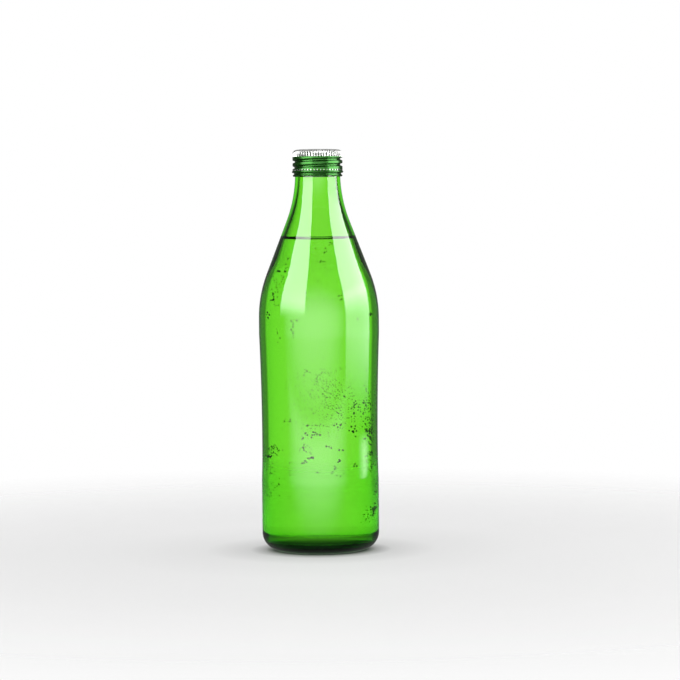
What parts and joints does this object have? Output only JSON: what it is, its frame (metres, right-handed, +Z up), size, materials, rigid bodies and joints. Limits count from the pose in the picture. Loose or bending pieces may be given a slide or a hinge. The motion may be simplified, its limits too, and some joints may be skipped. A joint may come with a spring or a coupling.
{
  "type": "soda water bottle",
  "caption": "Glass soda water bottle with a slim neck, sloping shoulder and rounded heel, filled with clear water and closed by a knurled aluminium screw cap.",
  "frame": {"origin": "middle of the foot ring, on the surface that the bottle stands on", "axes": "+Z up along the bottle's axis, towards the cap; -Y towards the viewer"},
  "size_m": [0.0676, 0.0676, 0.2253],
  "materials": {
    "green_glass": "polished",
    "soda_water": "polished",
    "green_cap": "satin"
  },
  "bodies": {
    "root": {"glass_bottle": "green_glass", "soda_water": "soda_water", "screw_cap": "green_cap"}
  },
  "joints": []
}
